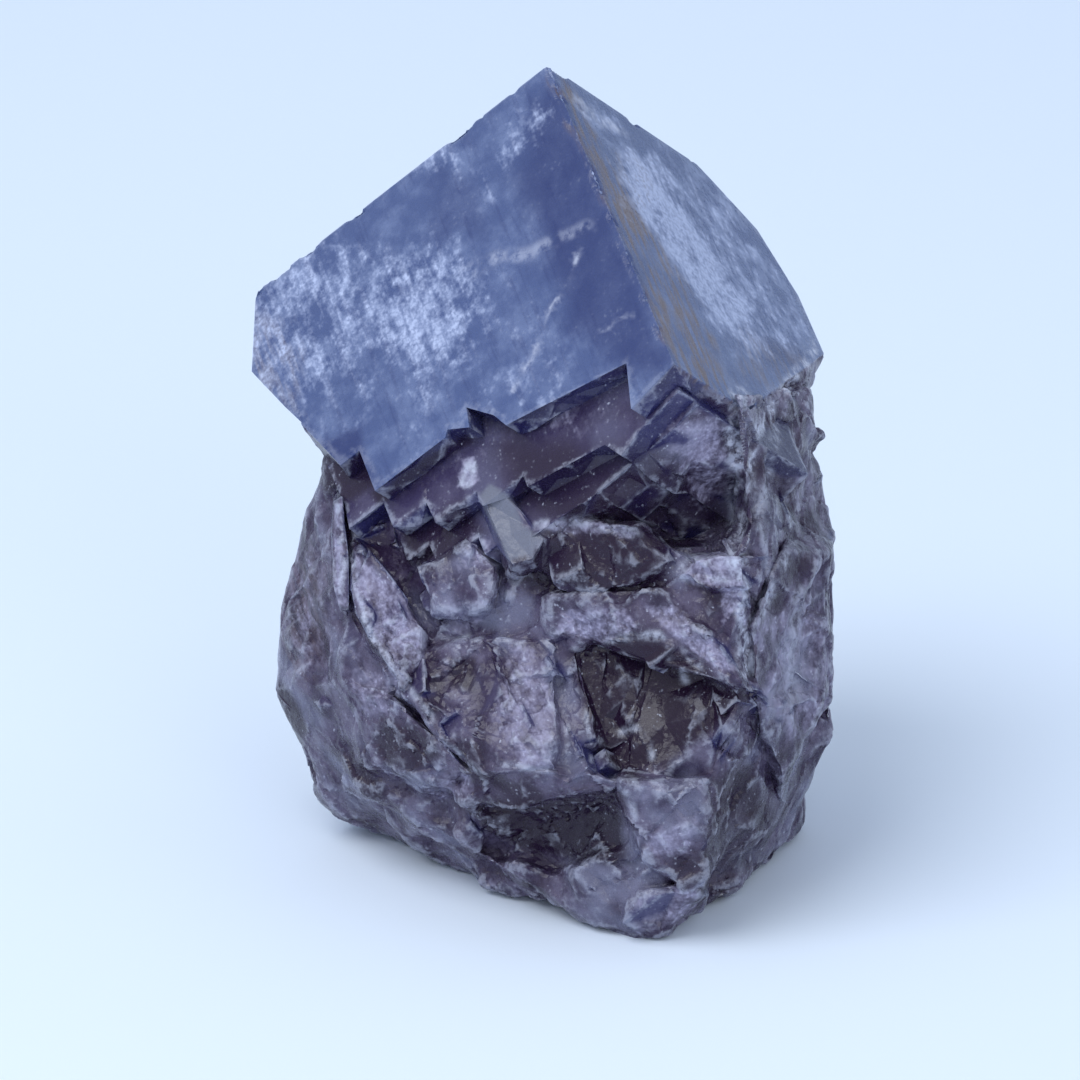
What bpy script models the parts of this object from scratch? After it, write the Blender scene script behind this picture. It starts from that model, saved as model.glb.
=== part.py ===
"""Fluorite specimen: the corner of a 50 mm cube crystal on top of its broken, cleaved stem.

Places on the specimen are given in millimetres as right, rise and near, as a viewer sees them who
looks down on its front by VIEW_DROP: near runs towards that viewer, and the tip is at TIP.
The crystal's three edges run down from the tip, and all that grew or cleaved follows them.
Run with: blender --background --python part.py
"""

import math
import random

import bmesh
import bpy
from mathutils import Matrix, Vector, noise

MM = 0.001

# How the front view lies in the object's own frame, in degrees and millimetres
VIEW_DROP = 20.0
BASE_HEIGHT = 3.4
BASE_CENTRE = (-0.8, 23.0)

# The crystal: its tip, and the directions of the left edge and of the front ridge
TIP = (0.0, 106.5, 0.0)
LEFT_EDGE = (-0.754, -0.565, -0.335)
FRONT_RIDGE = (0.298, -0.748, 0.592)
CUBE_DEPTH = 47.0

# The front-left cube face, as far along the left edge and along the ridge. Its lower side is torn
# in teeth whose sides are cube faces again.
FRONT_FACE = [
    (0, 0), (48, 0), (51, 5), (52.5, 10), (51.4, 14), (48.6, 21.5), (50, 24.5), (49.2, 30.8),
    (42.6, 30.8), (42.6, 37.4), (31.3, 37.4), (30.6, 36.6), (27.8, 38.4), (27.2, 35.6),
    (24.2, 39.2), (23.2, 41.6), (5.6, 45.2), (7.3, 51.2), (0, 49.6),
]
# The layers of crystal below it: how deep each lies, and its own torn side
LAYERS = [
    (3.2, [(2, 30), (49, 27), (48.6, 33.5), (49.2, 37), (43.6, 37), (43.6, 41), (38.2, 41), (38.2, 44.4),
           (31.4, 44.4), (31.4, 46.8), (25, 46.8), (25, 48.6), (13.6, 50.6), (12.2, 53.4), (9, 52.2),
           (2, 50.8)]),
    (6.4, [(2, 36), (45, 36), (45, 44), (41.5, 44), (41.5, 47.6), (35, 47.6), (35, 50.4), (28.6, 50.4),
           (28.6, 52.6), (18, 53.2), (6, 52.4), (2, 51.4)]),
]
LAYER_THICKNESS = 24.0

# Breaks that end the cube at its sides and back, each through three places
CUBE_BREAKS = [
    [(-36.2, 79.0, -15.9), (-37.0, 73.8, -14.0), (-34.5, 74.0, -30.0)],
    [(-36.8, 69.5, -11.9), (-30.3, 62.8, -3.5), (-31.5, 62.5, -24.0)],
    [(18.5, 95.5, -23.3), (26.5, 87.6, -26.6), (8.0, 84.0, -39.0)],
    [(26.5, 87.6, -26.6), (31.4, 79.2, -24.0), (14.0, 74.0, -41.0)],
    [(31.4, 79.2, -24.0), (34.0, 72.6, -19.0), (22.0, 66.0, -34.0)],
    [(0.0, 86.0, -38.0), (14.0, 60.0, -42.0), (-20.0, 68.0, -35.0)],
    [(-35.0, 80.0, -17.5), (-31.0, 60.0, -13.0), (-15.0, 82.0, -37.0)],
    [(34.4, 72.0, -18.0), (30.0, 69.0, -2.0), (26.0, 60.0, -14.0)],
    [(24.0, 64.5, 18.0), (30.4, 69.3, -2.0), (24.0, 56.0, 4.0)],
]

# The stem as a convex block: rings of places from the crystal down to the base
STEM = [
    (-26, 62, -4), (-8, 66, 8), (10, 66, 16), (22.6, 65, 21), (32.4, 67, -9), (26, 72, -26), (2, 74, -28),
    (-22, 68, -21),
    (-30.5, 50, -13), (-25, 51, -1), (-6, 47, 9), (22.8, 47, 21.5), (35.0, 45, -9), (28, 46, -32),
    (4, 46, -38), (-21, 42, -35),
    (-33.5, 37, -15), (-34, 30, -16), (-24.6, 31, 1), (-7, 26, 9.5), (10, 25, 18), (23.2, 30, 20),
    (34.7, 30, -11), (34, 20, -14),
    (-31.4, 22.6, -18), (-28.6, 16.6, -21), (-22, 18, -5), (19, 8, 9), (14, 0.5, 9.5), (11, 0, 10),
    (32, 12.2, -21),
    (-14.5, 9, -15), (-22, 12.6, -25), (-13, 16, -41), (10, 17, -44), (27, 15, -38),
]

# Lumps that stand out of the stem: the outline of the front of each, and how far back it reaches
LUMPS = {
    "lilac_face": ([(-23.6, 47.4, 3.5), (-22.0, 47.0, 5.5), (-18.6, 43.0, 7.5), (-15.2, 37.6, 8.5),
                    (-15.0, 34.6, 9.0), (-17.6, 30.6, 9.5), (-21.4, 36.4, 7.0), (-23.4, 42.4, 4.5)], 12),
    "middle_block": ([(-15.2, 35.0, 8.0), (-8.0, 36.6, 10.5), (0.6, 36.0, 13.5), (1.2, 27.0, 16.5),
                      (0.8, 21.6, 18.0), (-2.4, 21.0, 17.0), (-8.4, 20.6, 14.0), (-13.0, 26.0, 11.0),
                      (-17.4, 30.4, 9.0)], 12),
    "middle_strip": ([(0.4, 35.6, 12.0), (3.6, 34.6, 13.5), (5.8, 27.0, 16.0), (6.2, 20.4, 17.5),
                      (0.6, 21.0, 16.6)], 9),
    "left_shelf": ([(-24.2, 31.0, 1.2), (-18.4, 28.4, 6.5), (-13.4, 24.4, 9.6), (-9.4, 20.4, 12.0),
                    (-15.4, 19.0, 5.0), (-23.0, 21.0, -1.5)], 10),
    "brow": ([(-9.0, 21.6, 12.5), (-2.0, 20.8, 16.5), (5.0, 20.6, 18.0), (8.6, 19.4, 18.5),
              (4.0, 17.6, 15.0), (-4.0, 16.8, 12.0), (-10.0, 17.0, 8.5)], 10),
    "upper_boss": ([(-15.0, 45.0, 9.0), (-10.0, 48.6, 12.0), (-6.2, 45.4, 13.5), (-7.4, 40.4, 13.0),
                    (-13.6, 40.0, 9.5)], 9),
    "neck_rim": ([(-1.6, 50.6, 15.0), (4.0, 51.0, 18.0), (10.4, 49.6, 20.5), (14.6, 46.0, 21.0),
                  (10.0, 43.0, 19.5), (2.0, 42.6, 16.0), (-1.6, 46.0, 14.0)], 10),
    "window_lintel": ([(-0.4, 41.6, 15.0), (7.6, 42.0, 18.0), (13.4, 42.6, 20.0), (19.8, 37.2, 22.0),
                       (23.2, 31.0, 22.0), (19.0, 33.6, 21.0), (13.0, 37.4, 18.6), (6.0, 36.6, 16.6),
                       (0.4, 37.4, 14.0)], 9),
    "grey_flake": ([(-7.9, 53.2, 14.4), (-6.8, 54.5, 14.2), (-5.2, 53.9, 14.8), (-2.2, 50.0, 16.6),
                    (-0.4, 48.6, 17.4), (-1.8, 46.0, 17.8), (-4.6, 45.3, 17.0), (-6.2, 48.2, 15.4)], 5),
    "white_crust": ([(16.0, 44.4, 21.4), (17.4, 46.4, 22.0), (20.4, 47.0, 23.2), (22.9, 46.4, 23.4),
                     (23.6, 42.8, 23.0), (19.6, 42.2, 22.8)], 6),
    "foot_block": ([(9.0, 19.6, 19.5), (14.0, 18.4, 21.0), (19.4, 20.0, 20.0), (19.6, 12.0, 17.5),
                    (18.6, 7.0, 14.5), (14.4, 8.0, 15.5), (11.0, 11.0, 16.0), (9.8, 14.4, 17.5)], 12),
    "foot_flake": ([(9.0, 2.4, 11.6), (10.6, 6.0, 13.2), (13.2, 5.8, 14.2), (17.4, 7.0, 14.0),
                    (19.0, 5.4, 12.0), (17.0, 3.4, 11.0), (13.2, 0.9, 10.0), (10.0, 1.2, 9.6)], 7),
    "foot_shelf": ([(-9.0, 9.0, -3.0), (-7.6, 6.3, -3.0), (-3.6, 4.9, -2.0), (-0.6, 5.4, -1.4),
                    (1.0, 8.6, 3.0), (-4.0, 10.6, 1.0)], 7),
    "crack_ridge": ([(-26.4, 53.2, 0.6), (-25.2, 53.4, 1.8), (-24.6, 47.0, 2.2), (-24.3, 40.0, 2.4),
                     (-25.2, 39.8, 1.8), (-25.8, 46.0, 1.4)], 6),
    "side_swell": ([(28.4, 47.2, 11.5), (33.6, 46.6, 2.0), (33.4, 30.0, 1.0), (28.4, 20.0, 6.0),
                    (25.4, 27.0, 16.0), (24.2, 38.0, 20.0)], 12),
    "side_knob": ([(32.6, 50.4, -5.0), (34.6, 46.0, -6.0), (34.6, 44.4, -6.0), (33.0, 42.6, -3.0),
                   (31.0, 47.0, 2.0)], 8),
    "shoulder_knob": ([(31.2, 63.4, -2.0), (33.4, 61.2, -7.0), (32.6, 59.2, -7.0), (29.8, 60.0, 1.0)], 4),
}
LUMP_SPREAD = 1.3

# Hollows broken out of the stem: the outline of the floor of each, and how far it opens
HOLLOWS = {
    "neck": ([(-4.0, 64.0, 6.0), (8.0, 65.0, 10.0), (21.8, 66.0, 16.0), (22.0, 51.0, 8.5), (19.6, 47.8, 9.0),
              (10.0, 50.6, 5.0), (-1.0, 51.0, 2.0), (-6.0, 55.0, 2.0)], 18),
    "window": ([(3.2, 34.6, 13.4), (7.0, 36.4, 12.8), (13.0, 36.6, 13.6), (19.6, 32.8, 16.6),
                (22.6, 29.6, 19.0), (19.6, 23.0, 18.4), (14.2, 20.0, 17.2), (9.6, 21.0, 15.0),
                (6.6, 24.6, 13.6)], 16),
    "under_flake": ([(-1.4, 45.6, 12.0), (0.6, 45.4, 12.6), (-0.2, 41.6, 12.6), (-5.6, 41.0, 10.6),
                     (-6.0, 44.6, 10.4)], 10),
    "dark_notch": ([(-15.4, 50.4, 5.6), (-8.6, 53.0, 8.4), (-7.4, 50.4, 9.4), (-13.4, 45.2, 7.0),
                    (-18.0, 44.6, 4.4)], 12),
    "block_notch": ([(-10.8, 35.2, 7.6), (-8.0, 34.8, 9.2), (-8.2, 28.6, 10.8), (-10.4, 29.4, 9.6),
                     (-12.0, 32.0, 8.0)], 12),
    "shelf_hollow": ([(-22.0, 26.6, -0.6), (-18.6, 27.0, 2.6), (-12.6, 22.6, 5.4), (-17.0, 18.4, 1.4),
                      (-21.6, 19.6, -1.6)], 12),
    "brow_hollow": ([(-8.0, 15.8, 4.2), (4.6, 16.4, 11.0), (8.8, 18.0, 14.0), (9.2, 12.0, 12.0),
                     (1.0, 8.6, 4.0), (-8.0, 10.4, -1.0)], 14),
    "side_waist": ([(36.6, 59.4, -20.0), (31.0, 56.8, 2.0), (27.6, 51.0, 11.0), (31.4, 49.6, 2.6),
                    (36.4, 52.6, -15.0)], 16),
    "shoulder_waist": ([(37.0, 66.8, -24.0), (30.2, 65.6, -1.0), (28.4, 62.6, 6.0), (36.4, 63.6, -22.0)], 12),
}
HOLLOW_SPREAD = 1.35

# Breaks at the back, each through three places of the object's own frame in millimetres
BACK_BREAKS = [
    [(-30, 34, 30), (-14, 48, 26), (-22, 44, 62)],
    [(6, 49, 10), (24, 44, 12), (16, 50, 52)],
    [(30, 33, 14), (34, 30, 44), (24, 45, 34)],
]
HEAD_BACK_BREAKS = [
    [(-10, 60, 62), (20, 58, 66), (8, 50, 40)],
    [(-37, 44, 66), (-20, 57, 70), (-24, 45, 44)],
]

# Cleavage steps and notches scattered on what is broken, never on a cube face
STEP_SEED = 16
STEP_COUNT = 60
NOTCH_COUNT = 30
STEP_SIZE = (0.9, 2.4)
STEP_RISE = (0.3, 0.8)
STEP_TILT = 12.0
STEP_HEIGHTS = (8.0, 43.0)
SLAB_SIDE = -20.0
RIM_SIDE = 30.0

# How the broken faces are split up and roughened, in millimetres
EDGE_MOST = 4.4
BACK_EDGE_MOST = 8.0
FRONT_FACING = 0.1
SPLIT_ROUNDS = 14
TINY_EDGE = 0.003
HACKLE = [(6.5, 0.9), (3.6, 0.5)]
FOOT_RIM = 0.5

# How well two directions agree that count as one, and how near the foot's height counts as on it
SAME_WAY = 0.998
ON_FOOT = 0.01

COLOUR = (0.16, 0.17, 0.33, 1.0)
ROUGHNESS = 0.3


def view_frame():
    """The matrix from right, rise and near to the object's own axes."""
    drop = math.radians(VIEW_DROP)
    return Matrix(
        ((1, 0, 0), (0, math.sin(drop), -math.cos(drop)), (0, math.cos(drop), math.sin(drop)))
    )


VIEW = view_frame()
FOOT = Vector((BASE_CENTRE[0], BASE_CENTRE[1], BASE_HEIGHT))


def at(right, rise, near):
    """A place of the front view, in the object's own frame in metres."""
    return (VIEW @ Vector((right, rise, near)) - FOOT) * MM


def crystal_axes():
    """The directions of the cube's left edge, back edge and front ridge, away from the tip."""
    ridge = (VIEW @ Vector(FRONT_RIDGE)).normalized()
    left = VIEW @ Vector(LEFT_EDGE)
    left = (left - left.dot(ridge) * ridge).normalized()
    return left, ridge.cross(left), ridge


LEFT, BACK, RIDGE = crystal_axes()


def in_cube(left, back, down):
    """A place so many millimetres from the tip along the cube's three edges."""
    return at(*TIP) + (LEFT * left + BACK * back + RIDGE * down) * MM


def add_object(name, shape):
    """The bmesh as an object of that name, with its faces pointing out."""
    bmesh.ops.recalc_face_normals(shape, faces=shape.faces)
    mesh = bpy.data.meshes.new(name)
    shape.to_mesh(mesh)
    shape.free()
    made = bpy.data.objects.new(name, mesh)
    bpy.context.scene.collection.objects.link(made)
    return made


def convex(points):
    """The convex solid round these places."""
    shape = bmesh.new()
    for point in points:
        shape.verts.new(point)
    bmesh.ops.convex_hull(shape, input=shape.verts)
    inner = [vertex for vertex in shape.verts if not vertex.link_faces]
    bmesh.ops.delete(shape, geom=inner, context="VERTS")
    return shape


def prism(outline, run):
    """The closed solid between the outline and the same outline moved by run."""
    shape = bmesh.new()
    near = [shape.verts.new(point) for point in outline]
    far = [shape.verts.new(point + run) for point in outline]
    shape.faces.new(near)
    shape.faces.new(far[::-1])
    for index in range(len(outline)):
        shape.faces.new((near[index - 1], far[index - 1], far[index], near[index]))
    return shape


def cut_off(shape, place, outward):
    """Takes away what lies beyond a plane and closes the cut."""
    everything = shape.verts[:] + shape.edges[:] + shape.faces[:]
    bmesh.ops.bisect_plane(
        shape, geom=everything, dist=1e-7, plane_co=place, plane_no=outward, clear_outer=True
    )
    rim = [edge for edge in shape.edges if edge.is_boundary]
    if rim:
        bmesh.ops.edgeloop_fill(shape, edges=rim)


def break_off(shape, places, heart):
    """Breaks the shape off at the plane through three places, and keeps the side of its heart."""
    first, second, third = places
    outward = (second - first).cross(third - first).normalized()
    if outward.dot(heart - first) > 0:
        outward.negate()
    cut_off(shape, first, outward)


def spread_out(outline, share):
    """The outline grown by that share from its own middle."""
    middle = sum(outline, Vector()) / len(outline)
    return [middle + (point - middle) * share for point in outline]


def lump(outline, reach):
    """A convex lump with this front, which widens as it goes back into the stem."""
    front = [at(*place) for place in outline]
    back = [point - VIEW @ Vector((0, 0, reach)) * MM for point in spread_out(front, LUMP_SPREAD)]
    return convex(front + back)


def hollow(outline, reach):
    """A convex cutter with this floor, which widens towards the viewer."""
    floor = [at(*place) for place in outline]
    mouth = [point + VIEW @ Vector((0, 0, reach)) * MM for point in spread_out(floor, HOLLOW_SPREAD)]
    return convex(floor + mouth)


def combine(target, shapes, operation):
    """Joins each shape to the target, or cuts it out, and keeps the result as the target's mesh."""
    for shape in shapes:
        helper = add_object(operation, shape)
        modifier = target.modifiers.new(operation, "BOOLEAN")
        modifier.operation = operation
        modifier.solver = "EXACT"
        modifier.object = helper
        graph = bpy.context.evaluated_depsgraph_get()
        result = bpy.data.meshes.new_from_object(target.evaluated_get(graph))
        target.modifiers.clear()
        target.data = result
        bpy.data.objects.remove(helper)


def crystal():
    """The cube's corner: its front-left face drawn back along the third edge, and broken off."""
    outline = [in_cube(left, 0, down) for left, down in FRONT_FACE]
    shape = prism(outline, BACK * CUBE_DEPTH * MM)
    heart = at(0, 85, -8)
    for places in CUBE_BREAKS:
        break_off(shape, [at(*place) for place in places], heart)
    for places in HEAD_BACK_BREAKS:
        break_off(shape, [(Vector(place) - FOOT) * MM for place in places], heart)
    return shape


def layers():
    """The layers of crystal that show below the torn side of the front-left face."""
    shapes = []
    for depth, outline in LAYERS:
        front = [in_cube(left, depth, down) for left, down in outline]
        shapes.append(prism(front, BACK * LAYER_THICKNESS * MM))
    return shapes


def stem():
    """The broken stem as one convex block, split off at the back along its own breaks."""
    shape = convex([at(*place) for place in STEM])
    heart = at(0, 45, -8)
    for places in BACK_BREAKS:
        break_off(shape, [(Vector(place) - FOOT) * MM for place in places], heart)
    return shape


def is_grown(normal):
    """Whether a face lies as one of the cube's three outer faces."""
    return max(-normal.dot(edge) for edge in (LEFT, BACK, RIDGE)) > SAME_WAY


def is_foot(face):
    """Whether a face belongs to the flat cut that the specimen stands on."""
    return face.normal.z < -SAME_WAY and face.calc_center_median().z < ON_FOOT * MM


def on_stem(face):
    """Whether a mesh's face is broken surface of the stem, away from its foot, neck and both sides."""
    lowest, highest = STEP_HEIGHTS
    if not SLAB_SIDE * MM < face.center.x < RIM_SIDE * MM:
        return False
    return lowest * MM < face.center.z < highest * MM and not is_grown(face.normal)


def places_on(mesh, count, chance):
    """Random places on the stem's broken faces, with their normals, as often as a face is large."""
    broken = [face for face in mesh.polygons if on_stem(face)]
    picked = chance.choices(broken, weights=[face.area for face in broken], k=count)
    found = []
    for face in picked:
        corners = [mesh.vertices[index].co for index in face.vertices]
        start = chance.randrange(1, len(corners) - 1)
        u, v = sorted((chance.random(), chance.random()))
        place = corners[0] * u + corners[start] * (v - u) + corners[start + 1] * (1 - v)
        found.append((place, face.normal.copy()))
    return found


def cleavage_block(place, normal, chance, outward):
    """A block with cube faces set in the surface, so that only a step of it shows."""
    axes = (LEFT, BACK, RIDGE)
    tilt = Matrix.Rotation(math.radians(chance.gauss(0, STEP_TILT)), 3, chance.choice(axes))
    arms = [tilt @ edge * chance.uniform(*STEP_SIZE) * MM for edge in axes]
    reach = sum(abs(arm.dot(normal)) for arm in arms)
    rise = chance.uniform(*STEP_RISE) * MM
    centre = place + normal * outward * (rise - reach)
    signs = [(i, j, k) for i in (-1, 1) for j in (-1, 1) for k in (-1, 1)]
    return convex([centre + arms[0] * i + arms[1] * j + arms[2] * k for i, j, k in signs])


def add_steps(target):
    """Scatters small steps and notches over the broken faces."""
    chance = random.Random(STEP_SEED)
    places = places_on(target.data, STEP_COUNT + NOTCH_COUNT, chance)
    steps = [cleavage_block(place, normal, chance, 1) for place, normal in places[:STEP_COUNT]]
    notches = [cleavage_block(place, normal, chance, -1) for place, normal in places[STEP_COUNT:]]
    combine(target, notches, "DIFFERENCE")
    combine(target, steps, "UNION")


def hackle(place):
    """How far a place of a broken face stands out, in steps that follow the crystal."""
    height = 0
    for size, rise in HACKLE:
        cell = Vector((place.dot(LEFT), place.dot(BACK), place.dot(RIDGE))) / (size * MM)
        height += noise.cell(cell) * rise * MM
    return height


def rests(face):
    """Whether a face stays as flat as it is: a cube face, or the foot."""
    return is_grown(face.normal) or is_foot(face)


def is_ripe(edge):
    """Whether an edge is too long, and the longest of every broken triangle that it bounds."""
    broken = [face for face in edge.link_faces if not rests(face)]
    length = edge.calc_length()
    front = any(face.normal.dot(VIEW.col[2]) > FRONT_FACING for face in broken)
    if not broken or length < (EDGE_MOST if front else BACK_EDGE_MOST) * MM:
        return False
    return all(length >= side.calc_length() for face in broken for side in face.edges)


def halve(edge):
    """Splits an edge in its middle, and the triangles on both sides with it."""
    middle = bmesh.utils.edge_split(edge, edge.verts[0], 0.5)[1]
    for face in middle.link_faces[:]:
        corners = face.verts[:]
        opposite = corners[(corners.index(middle) + 2) % 4]
        bmesh.utils.face_split(face, middle, opposite)


def split_long_edges(shape):
    """Halves the longest edges of the broken faces, round after round."""
    for _ in range(SPLIT_ROUNDS):
        touched = set()
        for edge in [edge for edge in shape.edges if is_ripe(edge)]:
            if touched.isdisjoint(edge.link_faces):
                touched.update(edge.link_faces)
                halve(edge)
                touched.update(face for vertex in edge.verts for face in vertex.link_faces)
        if not touched:
            return
        shape.normal_update()


def roughen(target):
    """Gives the broken faces their hackly surface, and leaves the cube faces flat."""
    shape = bmesh.new()
    shape.from_mesh(target.data)
    bmesh.ops.triangulate(shape, faces=shape.faces)
    bmesh.ops.dissolve_degenerate(shape, edges=shape.edges, dist=TINY_EDGE * MM)
    bmesh.ops.triangulate(shape, faces=shape.faces)
    split_long_edges(shape)
    shape.normal_update()
    free = [vertex for vertex in shape.verts if not any(is_grown(face.normal) for face in vertex.link_faces)]
    shifts = [vertex.normal * hackle(vertex.co) for vertex in free]
    for vertex, shift in zip(free, shifts):
        height = vertex.co.z
        vertex.co += shift
        vertex.co.z = 0 if height < ON_FOOT * MM else max(vertex.co.z, min(height, FOOT_RIM * MM))
    shape.to_mesh(target.data)
    shape.free()


def ground():
    """The block that takes the specimen's foot off flat at height zero."""
    half = 0.1
    corners = [(x, y, z) for x in (-half, half) for y in (-half, half) for z in (-half, 0)]
    return convex(corners)


def keep_largest(target):
    """Drops the crumbs that the cuts left loose, and the shells of closed pores."""
    shape = bmesh.new()
    shape.from_mesh(target.data)
    pieces = []
    waiting = set(shape.faces)
    while waiting:
        reached = [waiting.pop()]
        for face in reached:
            beside = {other for edge in face.edges for other in edge.link_faces} & waiting
            waiting -= beside
            reached.extend(beside)
        pieces.append(reached)
    pieces.sort(key=len)
    crumbs = [face for piece in pieces[:-1] for face in piece]
    bmesh.ops.delete(shape, geom=crumbs, context="FACES")
    shape.to_mesh(target.data)
    shape.free()


def centre_on_base(target):
    """Puts the middle of the object's box over the origin."""
    corners = [vertex.co for vertex in target.data.vertices]
    lowest = [min(corner[axis] for corner in corners) for axis in range(3)]
    highest = [max(corner[axis] for corner in corners) for axis in range(3)]
    shift = Vector(((lowest[0] + highest[0]) / 2, (lowest[1] + highest[1]) / 2, lowest[2]))
    target.data.transform(Matrix.Translation(-shift))


def fluorite_material():
    """Deep violet-blue fluorite, glossy on its faces."""
    material = bpy.data.materials.new("fluorite")
    material.use_nodes = True
    shader = material.node_tree.nodes["Principled BSDF"]
    shader.inputs["Base Color"].default_value = COLOUR
    shader.inputs["Roughness"].default_value = ROUGHNESS
    shader.inputs["Metallic"].default_value = 0.0
    return material


def build():
    for old in list(bpy.data.objects):
        bpy.data.objects.remove(old)
    specimen = add_object("fluorite", stem())
    combine(specimen, [hollow(*each) for each in HOLLOWS.values()], "DIFFERENCE")
    combine(specimen, [crystal()] + layers() + [lump(*each) for each in LUMPS.values()], "UNION")
    add_steps(specimen)
    combine(specimen, [ground()], "DIFFERENCE")
    keep_largest(specimen)
    roughen(specimen)
    centre_on_base(specimen)
    specimen.data.materials.clear()
    specimen.data.materials.append(fluorite_material())


build()
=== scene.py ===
"""The looks of the fluorite specimen: fine cleavage relief on its solid, frosty veils, violet depth and
painted shade in its hollows.

Places are in millimetres as right, rise and near, as seen by a viewer who looks down by VIEW_DROP.
In that view the crystal's tip is at TIP.
"""

import math

import bpy
import numpy as np
from mathutils import Matrix, Vector


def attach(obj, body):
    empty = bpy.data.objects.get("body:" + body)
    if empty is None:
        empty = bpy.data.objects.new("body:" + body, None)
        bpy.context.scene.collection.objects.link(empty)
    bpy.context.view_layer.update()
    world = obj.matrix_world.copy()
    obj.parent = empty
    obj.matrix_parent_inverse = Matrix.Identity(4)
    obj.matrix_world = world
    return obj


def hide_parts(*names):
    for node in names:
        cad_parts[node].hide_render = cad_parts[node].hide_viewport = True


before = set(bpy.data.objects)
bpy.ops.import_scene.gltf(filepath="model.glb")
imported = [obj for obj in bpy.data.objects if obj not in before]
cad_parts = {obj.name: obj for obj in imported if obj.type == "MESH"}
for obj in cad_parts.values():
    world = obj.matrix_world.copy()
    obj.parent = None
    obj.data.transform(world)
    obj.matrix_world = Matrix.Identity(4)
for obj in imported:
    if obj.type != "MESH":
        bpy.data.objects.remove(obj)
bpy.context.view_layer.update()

MM = 0.001
VIEW_DROP = math.radians(20)
TIP = np.array([0.0, 106.5, 0.0])
LEFT_EDGE = np.array([-0.754, -0.565, -0.335])
FRONT_RIDGE = np.array([0.298, -0.748, 0.592])
VIEW_AXES = np.array([
    [1, 0, 0],
    [0, math.sin(VIEW_DROP), math.cos(VIEW_DROP)],
    [0, -math.cos(VIEW_DROP), math.sin(VIEW_DROP)],
])

# The kinds of triangle, and the longest edge of each
BROKEN, CUBE_IN_VIEW, BROKEN_IN_VIEW, CUBE, FOOT, STEP_FRONT, STEP_SIDE = range(7)
LONGEST = [1.7, 1.25, 0.85, 3.0, 6.0, 0.85, 0.85]

# The relief of the broken faces: the size of its steps, how far they stand, and along which planes
RELIEF = [
    (6.4, 0.7, "cube"),
    (3.6, 0.42, "cleavage"),
    (1.9, 0.16, "cube"),
    (1.1, 0.09, "cleavage"),
]

# How many rounds of smoothing come before the relief
SOFTEN = 6

# The longest edge along the drawn lines and the worn edges
FINE_LINE = 0.42

# How far below the front-left face the torn layers lie
LAYERED_DEPTH = 6.5

# The wear of the crystal's edges: how far in from the edge, how deep, and how large its chips are
WEAR_REACH = 1.0
WEAR_DEPTH = 0.38
WEAR_SIZE = 2.6

# The relief leaves the surface no lower than this where it was higher, so it stays off the ground
LOWEST_RELIEF = 0.3

# How nearly two directions agree, for a face to lie on a cube face or the foot, or along a step
SAME_WAY = 0.999
ALONG_STEP = 0.995

# How far off the plane of a cube face, and of the foot, a corner may be
OFF_CUBE_FACE = 0.1
OFF_FOOT = 0.05

# A face turned away from the viewer by more than this is out of view
TURNED_AWAY = -0.15

# How many rounds of smoothing give the surface without its edges, and without its hollows
EDGE_ROUNDS = 6
HOLLOW_ROUNDS = 40


# Numbers for each vertex


def scramble(*whole, seed=0):
    """A repeatable random value from 0 to 1 for each set of whole numbers."""
    mixed = np.full(whole[0].shape, 374761393 * (seed + 1) & 0xFFFFFFFF, np.uint64)
    for number, factor in zip(whole, (73856093, 19349663, 83492791)):
        mixed ^= (number.astype(np.int64) * factor).astype(np.uint64) & np.uint64(0xFFFFFFFF)
        mixed = (mixed * np.uint64(668265263)) & np.uint64(0xFFFFFFFF)
        mixed ^= mixed >> np.uint64(15)
    mixed = (mixed * np.uint64(2246822519)) & np.uint64(0xFFFFFFFF)
    mixed ^= mixed >> np.uint64(13)
    return (mixed & np.uint64(0xFFFFFF)).astype(float) / 0xFFFFFF


def cells(places, size, seed):
    """A random height for each block of space."""
    whole = np.floor(places / size)
    return scramble(whole[:, 0], whole[:, 1], whole[:, 2], seed=seed)


def smooth_noise(places, size, seed):
    """Random values from 0 to 1 that change smoothly over about that size."""
    spot = places / size
    whole = np.floor(spot)
    part = spot - whole
    part = part * part * (3 - 2 * part)
    total = np.zeros(len(places))
    for corner in range(8):
        step = np.array([corner & 1, corner >> 1 & 1, corner >> 2 & 1])
        weight = np.prod(np.where(step, part, 1 - part), axis=1)
        corners = whole + step
        total += weight * scramble(corners[:, 0], corners[:, 1], corners[:, 2], seed=seed)
    return total


def layered_noise(places, size, seed, layers=4):
    """Smooth noise with finer layers on top, around 0.5."""
    total, weight, share = np.zeros(len(places)), 0.0, 1.0
    for layer in range(layers):
        total += share * smooth_noise(places + 17.3 * layer, size / 2**layer, seed + layer)
        weight += share
        share *= 0.55
    return total / weight


def ramp(values, low, high):
    """0 below low, 1 above high, and a smooth rise between."""
    part = np.clip((values - low) / (high - low), 0, 1)
    return part * part * (3 - 2 * part)


def along_segment(spots, start, end):
    """The distance of each flat place from a line between two others."""
    start, end = np.array(start, float), np.array(end, float)
    run = end - start
    share = np.clip(((spots - start) @ run) / max(run @ run, 1e-9), 0, 1)
    return np.linalg.norm(spots - start - share[:, None] * run, axis=1)


def stroke(spots, line, width, soft):
    """1 on a drawn line of that width, with soft sides."""
    away = np.min([along_segment(spots, a, b) for a, b in zip(line, line[1:])], axis=0)
    return 1 - ramp(away, width / 2, width / 2 + soft)


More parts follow.
